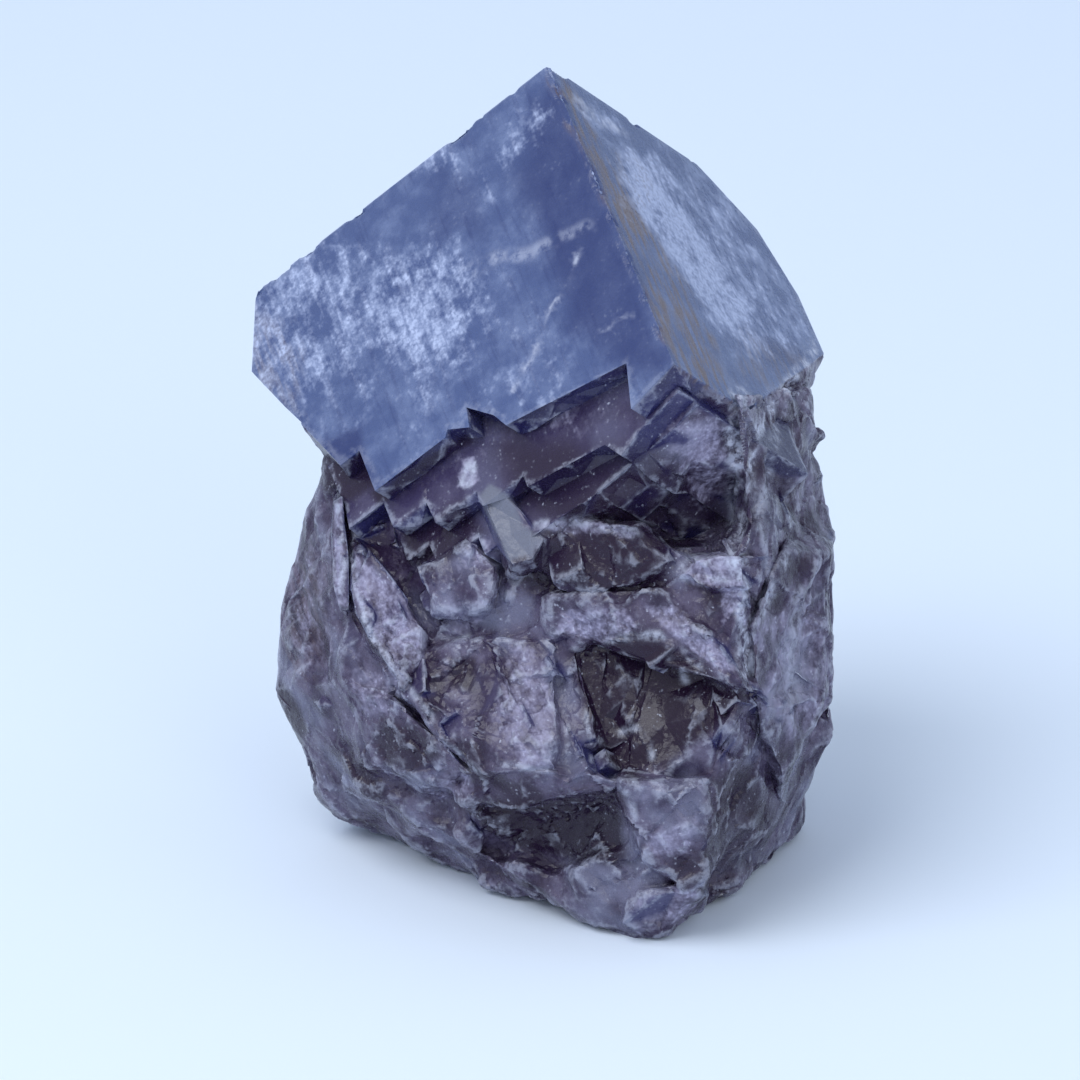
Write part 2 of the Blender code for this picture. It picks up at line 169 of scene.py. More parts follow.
def patch(spots, outline, soft):
    """1 inside an outline, fading to 0 over soft on both sides of its rim."""
    rim = np.full(len(spots), np.inf)
    inside = np.zeros(len(spots), bool)
    x, y = spots[:, 0], spots[:, 1]
    for a, b in zip(outline, outline[1:] + outline[:1]):
        rim = np.minimum(rim, along_segment(spots, a, b))
        if a[1] != b[1]:
            crosses = (a[1] > y) != (b[1] > y)
            inside ^= crosses & (x < (b[0] - a[0]) * (y - a[1]) / (b[1] - a[1]) + a[0])
    return ramp(np.where(inside, rim, -rim), -soft / 2, soft / 2)


# The mesh


def solid_mesh(node):
    """The node's corners, welded, and its triangles."""
    mesh = node.data
    mesh.calc_loop_triangles()
    points = np.empty(len(mesh.vertices) * 3)
    mesh.vertices.foreach_get("co", points)
    triangles = np.empty(len(mesh.loop_triangles) * 3, np.int64)
    mesh.loop_triangles.foreach_get("vertices", triangles)
    rounded = np.round(points.reshape(-1, 3) / MM, 4)
    corners, index = np.unique(rounded, axis=0, return_inverse=True)
    triangles = index.reshape(-1)[triangles].reshape(-1, 3)
    proper = (triangles[:, 0] != triangles[:, 1]) & (triangles[:, 1] != triangles[:, 2])
    proper &= triangles[:, 2] != triangles[:, 0]
    return corners, triangles[proper]


def face_normals(points, triangles):
    corners = points[triangles]
    across = np.cross(corners[:, 1] - corners[:, 0], corners[:, 2] - corners[:, 0])
    return across / np.maximum(np.linalg.norm(across, axis=1), 1e-12)[:, None]


def refine(points, triangles, marks, limits, rounds=40):
    """Halves the longest edges until each triangle's are within the limit of its mark."""
    for _ in range(rounds):
        ends = np.stack([triangles, np.roll(triangles, -1, axis=1)], axis=2)
        ends = np.sort(ends.reshape(-1, 2), axis=1)
        edges, index = np.unique(ends, axis=0, return_inverse=True)
        index = index.reshape(-1, 3)
        lengths = np.linalg.norm(points[edges[:, 0]] - points[edges[:, 1]], axis=1)
        keys = lengths + np.arange(len(edges)) * 1e-9
        pick = np.argmax(keys[index], axis=1)
        chosen = index[np.arange(len(triangles)), pick]
        wanted = lengths[chosen] > limits[marks]
        votes = np.bincount(chosen, minlength=len(edges))
        ripe = (votes == 2) & (np.bincount(chosen[wanted], minlength=len(edges)) > 0)
        if not ripe.any():
            return points, triangles, marks
        fresh = np.full(len(edges), -1)
        fresh[ripe] = len(points) + np.arange(ripe.sum())
        points = np.vstack([points, (points[edges[ripe, 0]] + points[edges[ripe, 1]]) / 2])
        split = ripe[chosen]
        old = triangles[split]
        turn = (pick[split][:, None] + np.arange(3)) % 3
        first, second, third = np.take_along_axis(old, turn, axis=1).T
        middle = fresh[chosen[split]]
        halves = np.vstack([np.stack([first, middle, third], 1), np.stack([middle, second, third], 1)])
        triangles = np.vstack([triangles[~split], halves])
        marks = np.concatenate([marks[~split], marks[split], marks[split]])
    return points, triangles, marks


def vertex_normals(points, triangles):
    corners = points[triangles]
    across = np.cross(corners[:, 1] - corners[:, 0], corners[:, 2] - corners[:, 0])
    total = np.zeros_like(points)
    for corner in range(3):
        for axis in range(3):
            total[:, axis] += np.bincount(triangles[:, corner], across[:, axis], len(points))
    return total / np.maximum(np.linalg.norm(total, axis=1), 1e-12)[:, None]


def smoothed(values, triangles, rounds):
    """Each vertex's values, spread over its neighbours again and again."""
    ends = np.vstack([triangles[:, [0, 1]], triangles[:, [1, 2]], triangles[:, [2, 0]]])
    ends = np.vstack([ends, ends[:, ::-1]])
    count = np.maximum(np.bincount(ends[:, 0], minlength=len(values)), 1)
    values = values.reshape(len(values), -1).copy()
    for _ in range(rounds):
        for axis in range(values.shape[1]):
            around = np.bincount(ends[:, 0], values[ends[:, 1], axis], len(values)) / count
            values[:, axis] = (values[:, axis] + around) / 2
    return values


def softly(chosen, triangles, rounds):
    """1 on the chosen vertices, fading over their neighbours."""
    return smoothed(chosen.astype(float), triangles, rounds)[:, 0]


class Frames:
    """The places of the specimen in the view's and in the crystal's own directions."""

    def __init__(self, corners):
        self.tip = corners[np.argmax(corners[:, 2])]
        ridge = FRONT_RIDGE / np.linalg.norm(FRONT_RIDGE)
        left = LEFT_EDGE - (LEFT_EDGE @ ridge) * ridge
        left /= np.linalg.norm(left)
        self.cube_axes = np.array([left, np.cross(ridge, left), ridge])
        self.cleavage_axes = np.array([[-1, -1, 1], [-1, 1, 1], [1, -1, 1]]) @ self.cube_axes / math.sqrt(3)

    def view(self, points):
        return (points - self.tip) @ VIEW_AXES.T + TIP

    def view_directions(self, directions):
        return directions @ VIEW_AXES.T

    def cube(self, points):
        return (self.view(points) - TIP) @ self.cube_axes.T

    def cleavage(self, points):
        return (self.view(points) - TIP) @ self.cleavage_axes.T


def relief(frames, points):
    """How far each place of the broken faces stands out, in millimetres."""
    cube = frames.cube(points)
    bend = np.stack([smooth_noise(cube, 7.0, seed) for seed in (31, 32, 33)], 1) - 0.5
    calm = ramp(layered_noise(cube, 14.0, 40), 0.35, 0.6)
    height = np.zeros(len(points))
    for layer, (size, rise, planes) in enumerate(RELIEF):
        spots = cube if planes == "cube" else frames.cleavage(points)
        share = 0.45 + 0.55 * calm if layer > 0 else 1.0
        height += rise * share * (cells(spots + 3.4 * bend, size, 50 + layer) - 0.5)
    height += 0.9 * (layered_noise(cube, 6.0, 60) - 0.5)
    return height


def edge_distance(frames, points):
    """How far each place is from the nearest of the three edges that meet at the tip."""
    cube = frames.cube(points)
    return np.min([np.hypot(cube[:, a], cube[:, b]) for a, b in ((0, 1), (1, 2), (0, 2))], axis=0)


def wear(frames, points):
    """How deep the crystal's edges are chipped at each place."""
    chips = ramp(layered_noise(frames.cube(points), WEAR_SIZE, 90), 0.5, 0.68)
    return WEAR_DEPTH * (0.15 + chips) * (1 - ramp(edge_distance(frames, points), 0, WEAR_REACH))


def tooth_sides(frames, points, triangles):
    """1 on the narrow sides of the torn teeth, which lie between the layers' fronts."""
    cube = frames.cube(points)
    normals = frames.view_directions(vertex_normals(points, triangles)) @ frames.cube_axes.T
    sideways = 1 - ramp(np.abs(normals[:, 1]), 0.6, 0.85)
    between = ramp(cube[:, 1], 0.05, 0.3) * (1 - ramp(cube[:, 1], LAYERED_DEPTH, LAYERED_DEPTH + 0.4))
    return sideways * between * ramp(cube[:, 2], 22, 26)


def kinds_of_face(frames, corners, triangles):
    """The kind of each triangle, as numbered above."""
    normals = face_normals(corners, triangles)
    outward = frames.view_directions(normals) @ -frames.cube_axes.T
    depth = np.abs(frames.cube(corners)[triangles]).max(axis=1)
    grown = ((outward > SAME_WAY) & (depth < OFF_CUBE_FACE)).any(axis=1)
    foot = (normals[:, 2] < -SAME_WAY) & (corners[triangles][:, :, 2].max(axis=1) < OFF_FOOT)
    facing = frames.view_directions(normals)[:, 2]
    marks = np.where(facing > TURNED_AWAY, BROKEN_IN_VIEW, BROKEN)
    along = np.abs(outward)
    marks[(marks == BROKEN_IN_VIEW) & (along.max(axis=1) > ALONG_STEP)] = STEP_SIDE
    marks[(marks == STEP_SIDE) & (along[:, 1] > ALONG_STEP)] = STEP_FRONT
    marks[foot] = FOOT
    marks[grown] = np.where(facing[grown] > 0, CUBE_IN_VIEW, CUBE)
    return marks


def touching(points, triangles, marks, kinds):
    """Which vertices touch a triangle of those kinds."""
    found = np.zeros(len(points), bool)
    found[triangles[np.isin(marks, kinds)].ravel()] = True
    return found


def drawn_strips(frames, points, triangles, marks):
    """Which triangles hold a drawn line or a worn edge."""
    middles = points[triangles].mean(axis=1)
    spots = frames.view(middles)[:, :2]
    close = np.zeros(len(spots), bool)
    for line, width, soft, _ in LINES:
        close |= stroke(spots, line, width + 2 * soft, 0.01) > 0
    in_view = np.isin(marks, (CUBE_IN_VIEW, BROKEN_IN_VIEW, STEP_FRONT, STEP_SIDE))
    worn = edge_distance(frames, middles) < 2 * WEAR_REACH
    return (close & in_view) | (worn & np.isin(marks, (CUBE, CUBE_IN_VIEW)))


def split_finely(frames, corners, triangles):
    """The solid's mesh, split by kind of triangle, and finest along the drawn strips."""
    marks = kinds_of_face(frames, corners, triangles)
    points, triangles, marks = refine(corners, triangles, marks, np.array(LONGEST))
    drawn = drawn_strips(frames, points, triangles, marks)
    kinds = len(LONGEST)
    limits = np.array(LONGEST + [FINE_LINE] * kinds)
    points, triangles, marks = refine(points, triangles, marks + kinds * drawn, limits)
    return points, triangles, marks % kinds


def freedom(frames, points, triangles, marks, grown):
    """How far the relief may move each vertex: not on grown faces, and little on flat steps."""
    flat = softly(touching(points, triangles, marks, (STEP_FRONT, STEP_SIDE)), triangles, 1)
    free = ramp(softly(~grown, triangles, 2), 0.3, 0.9) * (1 - 0.85 * flat)
    free *= 1 - painted(frames.view(points)[:, :2], CALM)
    return free * (1 - 0.9 * tooth_sides(frames, points, triangles))


def sculpt():
    """The finely split solid with its relief, and what its faces are."""
    corners, triangles = solid_mesh(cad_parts["fluorite"])
    frames = Frames(corners)
    points, triangles, marks = split_finely(frames, corners, triangles)
    grown = touching(points, triangles, marks, (CUBE, CUBE_IN_VIEW))
    on_foot = touching(points, triangles, marks, (FOOT,))
    heights = points[:, 2].copy()
    free = freedom(frames, points, triangles, marks, grown)
    soft = smoothed(points, triangles, SOFTEN)
    points = points + (soft - points) * free[:, None]
    out = vertex_normals(points, triangles)
    shift = relief(frames, points) * free - np.where(grown, wear(frames, points), 0)
    points = points + out * shift[:, None]
    lowest = np.maximum(points[:, 2], np.minimum(heights, LOWEST_RELIEF))
    points[:, 2] = np.where(on_foot, heights, lowest)
    return frames, points, triangles, marks


# What is painted on it, as drawn in the view: each patch's outline, strength and softness

# Where the relief is calmer
CALM = [
    ([(-8.6, 54.6), (-4, 54.6), (0.6, 48.8), (-1.6, 44.8), (-7, 44.8)], 0.9, 1),
    ([(-26.6, 54), (-24, 54), (-23.6, 40), (-26, 40)], 0.7, 1),
    ([(15.4, 42), (15.4, 47.4), (24.4, 47.4), (24.4, 42)], 0.5, 1),
    ([(-36, 53), (-25.8, 53), (-25.4, 22), (-35, 22)], 0.6, 3),
    ([(3, 35), (13, 37), (23, 30), (19, 20), (9, 20)], 0.7, 2),
    ([(-6, 62), (22, 66), (22, 50), (14, 50), (-2, 51)], 0.8, 3),
    ([(24, 60), (35, 60), (35, 10), (24, 10)], 0.35, 4),
]

# Where the colour is dark: partly the violet's own depth, partly painted shade under overhangs, in the
# neck's notch and in the undercut at the bottom
DARK_AND_SHADED_PATCHES = [
    ([(-2, 102), (1.5, 104), (6, 95), (11, 80), (14.6, 70),
      (13, 67), (7, 70), (3, 74), (0, 82), (-4, 92)],
     0.75, 5),
    ([(-14, 94), (-9, 92), (-8.5, 86), (-14, 85)], 0.4, 3),
    ([(-28.5, 60), (-22.5, 62.5), (-20.6, 55), (-23.5, 53.6), (-28.6, 55.2)], 0.8, 1.5),
    ([(-21.4, 54), (-9.4, 61.8), (-8.4, 60.2), (-20.4, 52.4)], 0.8, 1),
    ([(-4, 62.4), (8.8, 69.4), (9, 63), (2, 61)], 0.25, 2.5),
    ([(-7, 60), (3, 60), (13, 59), (22, 57), (21, 50), (12, 49), (2, 50), (-4, 53)], 0.75, 4),
    ([(0, 50), (14, 50), (15, 42), (6, 41), (-2, 43)], 1.0, 3),
    ([(-18, 50), (-10, 52.5), (-8, 50), (-13, 45.5), (-18, 45)], 0.9, 2),
    ([(-2, 49), (11, 48.5), (14, 45), (10, 43), (0, 42.5), (-6, 44)], 0.8, 2.5),
    ([(2.6, 35), (7, 36.4), (13, 36.9), (19, 33), (23.5, 29.5),
      (20, 26.5), (14, 21), (9.5, 20), (6.4, 22), (4, 28)],
     1.06, 2),
    ([(-12.2, 34.6), (-9, 34.6), (-8.6, 30.5), (-11.6, 31)], 1.0, 1),
    ([(-20, 27), (-14, 25.4), (-12.5, 22.4), (-17, 20), (-21, 22)], 0.9, 2),
    ([(-34.5, 33), (-31.5, 30), (-29.5, 25), (-31, 23), (-34.5, 26)], 1.0, 1.5),
    ([(-10, 17), (0, 17), (9, 18), (9.5, 10), (3, 9), (-6, 12)], 1.0, 2),
    ([(19, 20), (24, 22), (28, 14), (25, 8), (19, 6)], 0.7, 4),
    ([(24, 62), (31, 68), (32, 60), (28, 48), (24, 50)], 0.45, 4),
    ([(26, 74), (30, 73), (31.5, 70), (26, 70)], 0.6, 2),
]

# Veils and frost
PALE = [
    ([(-25, 78), (-20, 84), (-12, 85.5), (-7, 81), (-7.5, 74), (-12, 68), (-21, 71)], 0.72, 8),
    ([(-37, 80), (-30, 87), (-22, 86), (-22, 72), (-29, 62), (-37, 70)], 0.62, 6),
    ([(-24, 70), (-20.4, 70), (-21.4, 61), (-24, 58)], 0.42, 3),
    ([(-17.4, 72), (-14, 72), (-14.4, 61), (-16.6, 60)], 0.42, 3),
    ([(-12, 66), (-6, 70), (2, 72), (4, 69), (-8, 62)], 0.3, 3),
    ([(-28, 89), (-24, 93), (-20, 92), (-25, 86)], 0.45, 3),
    ([(-31, 80), (-37.5, 78), (-37.5, 69), (-30, 62), (-29.6, 72)], 0.5, 2),
    ([(-17, 93.5), (-13, 97.5), (-10.5, 94), (-14, 91.5)], 0.5, 3),
    ([(-1, 103), (1.5, 101), (-2, 95), (-7, 92), (-7, 89), (-9, 93)], 0.65, 3),
    ([(8, 97), (13, 96), (19, 86), (26, 77), (22, 72), (15, 82), (9, 92)], 1.15, 4),
    ([(13, 99), (22, 92), (28, 84), (33, 75), (30, 70), (22, 70), (18, 86)], 0.62, 4),
    ([(2, 104.5), (8, 101), (11, 97), (7, 98), (3, 101)], 0.6, 2),
    ([(13, 62.6), (22, 64), (22.4, 54), (18, 52), (15, 56)], 0.95, 4),
    ([(-1, 65.6), (6, 66), (8, 62.6), (3, 60.6), (-2, 62.4)], 0.62, 3),
    ([(16, 68), (20, 65), (16, 62.6), (12, 65)], 0.5, 2),
    ([(6, 58), (12, 56.6), (20, 58.6), (14, 55.4)], 0.35, 3),
    ([(-17, 60), (-11, 61), (-7, 57), (-12, 55), (-16, 55)], 0.4, 3),
    ([(-10.6, 54), (-10.2, 57.6), (-8.2, 58.4), (-7.8, 55)], 1.0, 0.8),
    ([(-12, 49), (-6.4, 49.5), (-6, 45), (-11, 44)], 0.75, 3),
    ([(-24, 47.6), (-18.4, 43.4), (-15, 37.4), (-15, 34), (-18, 30.4), (-21.6, 36.6), (-23.6, 42.4)],
     0.85, 1.2),
    ([(-26, 53.4), (-24.6, 53), (-24.2, 40), (-25.6, 40)], 0.9, 0.8),
    ([(-24, 36), (-18.6, 31), (-19, 27), (-24, 26)], 0.6, 1.5),
    ([(-5, 36), (-1, 36), (1.2, 27), (0.6, 21.4), (-4.6, 21.8), (-6, 28)], 0.7, 2),
    ([(-1.6, 49.6), (0, 51.2), (5, 51.2), (10.6, 49.6), (10, 48), (2, 49.2)], 0.9, 1.2),
    ([(16, 44), (17.2, 46.4), (20.4, 47), (23, 46.6),
      (23.8, 43), (24, 37), (22, 40), (20.6, 37.4), (20, 42)],
     1.0, 0.8),
    ([(0.6, 37), (1, 39.6), (4, 40), (9.4, 40.4), (11.4, 37.2), (7, 36.6)], 0.85, 1),
    ([(11.6, 39.8), (15, 41.2), (19.6, 37), (23.2, 32), (20, 33.4), (14, 37.8)], 0.8, 1),
    ([(-13, 41), (-8, 41.4), (-7, 38), (-12.6, 36.6)], 0.6, 1.5),
    ([(10, 13.4), (14, 14.4), (18, 15.4), (17.4, 11), (10.6, 10)], 0.7, 1.6),
    ([(9, 2.4), (10.6, 6), (17.4, 7), (19, 5.5), (15, 1.6), (10.2, 1.2)], 0.75, 1),
    ([(-8.6, 7.6), (-7.6, 6.2), (-3, 4.8), (0, 5.4), (-3, 8)], 0.5, 1),
    ([(23, 40), (28, 40), (34, 48), (35, 36), (34.6, 26), (30, 22), (25, 26)], 0.6, 5),
    ([(24, 66), (34, 68), (35, 50), (30, 44), (24, 46)], 0.35, 4),
    ([(-33, 50), (-28, 52), (-26, 40), (-27, 30), (-32.4, 34)], 0.5, 4),
    ([(-16, 20), (-9, 20.6), (-9, 17), (-15, 17.4)], 0.6, 2),
]

# The grey flake that leans on the stem
FLAKES = [
    ([(-7.9, 53.2), (-6.8, 54.5), (-5.2, 53.9), (-2.2, 50),
      (-0.4, 48.6), (-1.8, 46), (-4.6, 45.3), (-6.2, 48.2)],
     1.0, 0.5),
]

# Brown stains
TAN = [
    ([(0.6, 104.6), (3, 103), (18, 76), (23, 64.4), (15.4, 69)], 1.0, 1.6),
    ([(8, 96), (12, 95), (14, 90), (10, 88)], 0.8, 2),
    ([(24, 74), (31, 71), (28, 67), (23, 68)], 0.5, 3),
    ([(-31, 76), (-37.4, 76), (-36.6, 69), (-31, 63), (-30, 68)], 0.45, 2),
    ([(-34, 44), (-29, 50), (-26, 44), (-29, 30), (-33, 34)], 0.35, 4),
]

# Bright lines: their places, width, softness and strength
LINES = [
    ([(-10, 81), (-6, 82.6), (-2, 83.2), (2, 85.2), (5, 86.2)], 0.2, 1.3, 0.45),
    ([(4.5, 84.2), (3.2, 81.6), (2.1, 79), (0.5, 76.6), (-0.4, 73.6), (-2.6, 69.4), (-4.5, 66.2)],
     0.1, 0.32, 0.7),
    ([(5.6, 73.6), (7.2, 73.8), (8.4, 74.6), (10.2, 75)], 0.1, 0.3, 0.45),
    ([(3.5, 102), (6, 100.2), (9.5, 98.6)], 0.2, 0.9, 0.5),
    ([(-24.2, 47), (-23, 42.4), (-21.6, 37), (-18.7, 33)], 0.3, 0.7, 0.8),
    ([(-18.7, 33), (-15, 28.4), (-12, 24), (-9.4, 20.9)], 0.1, 0.7, 0.6),
    ([(-9.4, 20.9), (-6, 21.6), (-2, 21.4), (0.6, 21)], 0.1, 0.6, 0.6),
    ([(22.8, 66), (22.5, 58), (23, 52), (22.4, 47), (23.4, 40), (23.8, 33)], 0.9, 1.4, 1.0),
    ([(33.6, 72.6), (28, 66), (24.5, 61), (23.6, 56)], 0.5, 1.1, 0.9),
    ([(27.4, 63), (26.4, 57), (25.4, 50)], 0.3, 1.3, 0.6),
    ([(30.4, 42), (29.4, 34), (30, 27)], 0.2, 1.6, 0.45),
    ([(7, 36.6), (13, 37.2), (18.4, 33.4)], 0.3, 0.8, 0.7),
    ([(17, 45.2), (22.4, 45)], 2.6, 0.9, 0.85),
    ([(-9.6, 55.2), (-9, 57.4)], 1.0, 0.6, 0.85),
    ([(-1, 50.4), (5, 50.6), (10, 49.4)], 0.3, 1.0, 0.6),
    ([(30, 50), (28.5, 46), (26.4, 42), (24.2, 38)], 0.3, 1.0, 0.7),
    ([(24.4, 55), (26, 47), (27, 42)], 0.1, 0.9, 0.5),
    ([(2, 28), (2.4, 22)], 0.1, 0.5, 0.7),
    ([(4.6, 28), (5, 22)], 0.1, 0.5, 0.7),
    ([(8.4, 25.2), (10.6, 25.8), (12.2, 24.2), (12.8, 22.2)], 0.1, 0.7, 0.6),
    ([(14.4, 34.2), (16.6, 32)], 0.1, 0.8, 0.7),
    ([(8, 19.6), (9.6, 18), (10.4, 15)], 0.1, 0.8, 0.6),
    ([(-13.6, 37), (-11, 36.6), (-9.6, 36.8)], 0.1, 0.5, 0.7),
    ([(-25.4, 53), (-24.8, 46), (-24.9, 40)], 0.2, 0.6, 0.8),
]


def painted(spots, shapes):
    """The strongest of the drawn patches at each place."""
    total = np.zeros(len(spots))
    for outline, strength, soft in shapes:
        total = np.maximum(total, strength * patch(spots, outline, soft))
    return total


def drawn_lines(spots, cube):
    """The strongest of the drawn lines at each place, broken up by noise."""
    total = np.zeros(len(spots))
    for line, width, soft, strength in LINES:
        total = np.maximum(total, strength * stroke(spots, line, width, soft))
    return total * ramp(layered_noise(cube, 1.6, 80), 0.3, 0.6)


def standing_out(points, smooth, normals):
    """How far each vertex stands out from a smoother surface."""
    return np.einsum("ij,ij->i", points - smooth, normals)


def paint(frames, points, triangles, marks):
    """The painted numbers of each vertex, by name."""
    places = frames.view(points)[:, :2]
    cube = frames.cube(points)
    wobble = np.stack([smooth_noise(cube, 3.2, seed) for seed in (71, 72)], 1) - 0.5
    spots = places + 1.6 * wobble
    normals = vertex_normals(points, triangles)
    near = ramp(frames.view_directions(normals)[:, 2], -0.25, 0.15)
    unseen_veils = 0.8 * ramp(layered_noise(cube, 15.0, 95), 0.48, 0.64) * (1 - near)
    fine = smoothed(points, triangles, EDGE_ROUNDS)
    broad = smoothed(fine, triangles, HOLLOW_ROUNDS)
    grown = touching(points, triangles, marks, (CUBE, CUBE_IN_VIEW)).astype(float)
    steps = touching(points, triangles, marks, (STEP_FRONT, STEP_SIDE))
    step_sides = softly(touching(points, triangles, marks, (STEP_SIDE,)), triangles, 1)
    torn_sides = tooth_sides(frames, points, triangles) * (1 - grown)
    return {
        # Dark patches: the violet's own depth, and painted shade under overhangs, in the notch and in the
        # undercut
        "dark_and_shaded": painted(spots, DARK_AND_SHADED_PATCHES) * near,
        "pale": painted(spots, PALE) * near + unseen_veils,
        "flake": painted(spots, FLAKES) * near,
        "tan": painted(spots, TAN) * near,
        "line": drawn_lines(places + 0.8 * wobble, cube) * near,
        "edge": standing_out(points, fine, normals),
        # How far each vertex stands out from the broad surface; the material paints shade where it lies in
        # a hollow
        "shade_in_hollows": standing_out(points, broad, normals),
        "cube_face": grown,
        "facet": softly(steps, triangles, 1),
        "side": np.maximum(torn_sides, step_sides),
    }


def specimen_object(points, triangles, names):
    """The mesh object with its painted numbers."""
    mesh = bpy.data.meshes.new("specimen")
    mesh.from_pydata((points * MM).tolist(), [], triangles.tolist())
    mesh.update()
    for name, values in names.items():
        layer = mesh.attributes.new(name, "FLOAT", "POINT")
        layer.data.foreach_set("value", values.astype(np.float32))
    made = bpy.data.objects.new("specimen", mesh)
    bpy.context.scene.collection.objects.link(made)
    return made


# Materials


class Nodes:
    """A short way to write a material's nodes."""

    def __init__(self, name):
        self.material = bpy.data.materials.new(name)
        self.material.use_nodes = True
        self.tree = self.material.node_tree
        self.shader = self.tree.nodes["Principled BSDF"]
        self.output = self.tree.nodes["Material Output"]

    def set(self, socket, value):
        if isinstance(value, bpy.types.NodeSocket):
            self.tree.links.new(value, socket)
        elif value is not None:
            socket.default_value = value

    def math(self, operation, first, second=0.0, third=None):
        node = self.tree.nodes.new("ShaderNodeMath")
        node.operation = operation
        self.set(node.inputs[0], first)
        self.set(node.inputs[1], second)
        if third is not None:
            self.set(node.inputs[2], third)
        return node.outputs[0]

    def scaled(self, value, share):
        return self.math("MULTIPLY", value, share)

    def product(self, first, second):
        return self.math("MULTIPLY", first, second)

    def attribute(self, name):
        node = self.tree.nodes.new("ShaderNodeAttribute")
        node.attribute_name = name
        return node.outputs["Fac"]

    def place(self):
        return self.tree.nodes.new("ShaderNodeTexCoord").outputs["Object"]

    def stretched(self, turn, shares):
        """The place along the crystal's edges, drawn out by these shares."""
        mapping = self.tree.nodes.new("ShaderNodeMapping")
        mapping.vector_type = "TEXTURE"
        self.tree.links.new(self.place(), mapping.inputs["Vector"])
        mapping.inputs["Rotation"].default_value = turn
        mapping.inputs["Scale"].default_value = shares
        return mapping.outputs[0]

    def noise(self, place, size_mm, detail, rough):
        node = self.tree.nodes.new("ShaderNodeTexNoise")
        self.set(node.inputs["Vector"], place)
        node.inputs["Scale"].default_value = 1000.0 / size_mm
        node.inputs["Detail"].default_value = detail
        node.inputs["Roughness"].default_value = rough
        return node.outputs["Fac"]

    def ramp(self, value, low, high):
        node = self.tree.nodes.new("ShaderNodeMapRange")
        node.interpolation_type = "SMOOTHSTEP"
        self.set(node.inputs["Value"], value)
        node.inputs["From Min"].default_value = low
        node.inputs["From Max"].default_value = high
        return node.outputs["Result"]

    def blend(self, share, first, second):
        node = self.tree.nodes.new("ShaderNodeMix")
        node.data_type = "RGBA"
        self.set(node.inputs["Factor"], share)
        for socket, value in ((node.inputs[6], first), (node.inputs[7], second)):
            self.set(socket, value if isinstance(value, bpy.types.NodeSocket) else (*value, 1.0))
        return node.outputs[2]


SLATE = (0.084, 0.122, 0.285)
SLATE_LIGHT = (0.165, 0.216, 0.405)
NAVY = (0.024, 0.038, 0.155)
VIOLET = (0.040, 0.026, 0.070)
VIOLET_LIGHT = (0.138, 0.118, 0.198)
VIOLET_DARK = (0.019, 0.008, 0.028)
FACET = (0.058, 0.048, 0.128)
SIDE = (0.022, 0.024, 0.120)
MIST = (0.24, 0.25, 0.38)
FROST = (0.41, 0.47, 0.67)
LILAC = (0.295, 0.28, 0.41)
FROST_WHITE = (0.50, 0.53, 0.66)
BROWN = (0.155, 0.110, 0.115)
FLAKE = (0.20, 0.21, 0.28)

TRANSMISSION = 0.26
FLUORITE_IOR = 1.434
SPECULAR_LEVEL = 0.38
ABSORPTION = (0.14, 0.12, 0.52)
ABSORPTION_DENSITY = 60.0

# Roughness of the clear surface, and what full frost and full grain add to it
CLEAR_ROUGHNESS = 0.2
FROST_ROUGHNESS = 0.3
GRAIN_ROUGHNESS = 0.16

BUMP_STRENGTH = 0.38
BUMP_HEIGHT = 0.3 * MM


def crystal_turn(frames):
    """The turn that lays a texture along the crystal's edges."""
    axes = frames.cube_axes @ VIEW_AXES
    return tuple(Matrix(axes.T.tolist()).to_euler())


def noise_layers(nodes, turn):
    """The material's noises, by name, from broad mottles to fine grain."""
    place = nodes.place()
    return {
        "broad": nodes.noise(nodes.stretched(turn, (1.0, 1.0, 1.8)), 9.0, 2.0, 0.6),
        "middle": nodes.noise(place, 4.5, 4.0, 0.65),
        "fine": nodes.noise(place, 1.5, 3.0, 0.7),
        "grain": nodes.noise(place, 0.5, 2.0, 0.6),
        "streaks": nodes.noise(nodes.stretched(turn, (1.0, 1.0, 9.0)), 0.9, 2.0, 0.65),
    }


def cube_colour(nodes, noise):
    """Slate blue with darker streaks."""
    colour = nodes.blend(nodes.ramp(noise["middle"], 0.35, 0.7), SLATE, SLATE_LIGHT)
    return nodes.blend(nodes.scaled(nodes.ramp(noise["streaks"], 0.5, 0.75), 0.35), colour, NAVY)


def broken_colour(nodes, noise):
    """Mottled violet, plainer on the flat steps and navy on their sides."""
    colour = nodes.blend(nodes.ramp(noise["middle"], 0.38, 0.62), VIOLET, VIOLET_LIGHT)
    colour = nodes.blend(nodes.scaled(nodes.ramp(noise["broad"], 0.5, 0.66), 0.6), colour, MIST)
    colour = nodes.blend(nodes.scaled(nodes.ramp(noise["broad"], 0.48, 0.34), 0.75), colour, VIOLET_DARK)
    colour = nodes.blend(nodes.scaled(nodes.attribute("facet"), 0.6), colour, FACET)
    return nodes.blend(nodes.scaled(nodes.attribute("side"), 0.8), colour, SIDE)


def body_colour(nodes, noise, cube_face, dark_and_shaded):
    """The colour under the frost: darker in its dark patches and where shade is painted, and brown where it
    is stained.
    """
    colour = nodes.blend(cube_face, broken_colour(nodes, noise), cube_colour(nodes, noise))
    darkest = nodes.blend(cube_face, VIOLET_DARK, NAVY)
    # Darkens toward the darkest colour: the violet's own depth, and painted shade
    colour = nodes.blend(nodes.scaled(dark_and_shaded, 0.94), colour, darkest)
    stained = nodes.math("ADD", nodes.scaled(noise["middle"], 0.6), noise["streaks"])
    stained = nodes.ramp(stained, 0.68, 0.95)
    return nodes.blend(nodes.product(nodes.attribute("tan"), stained), colour, BROWN)


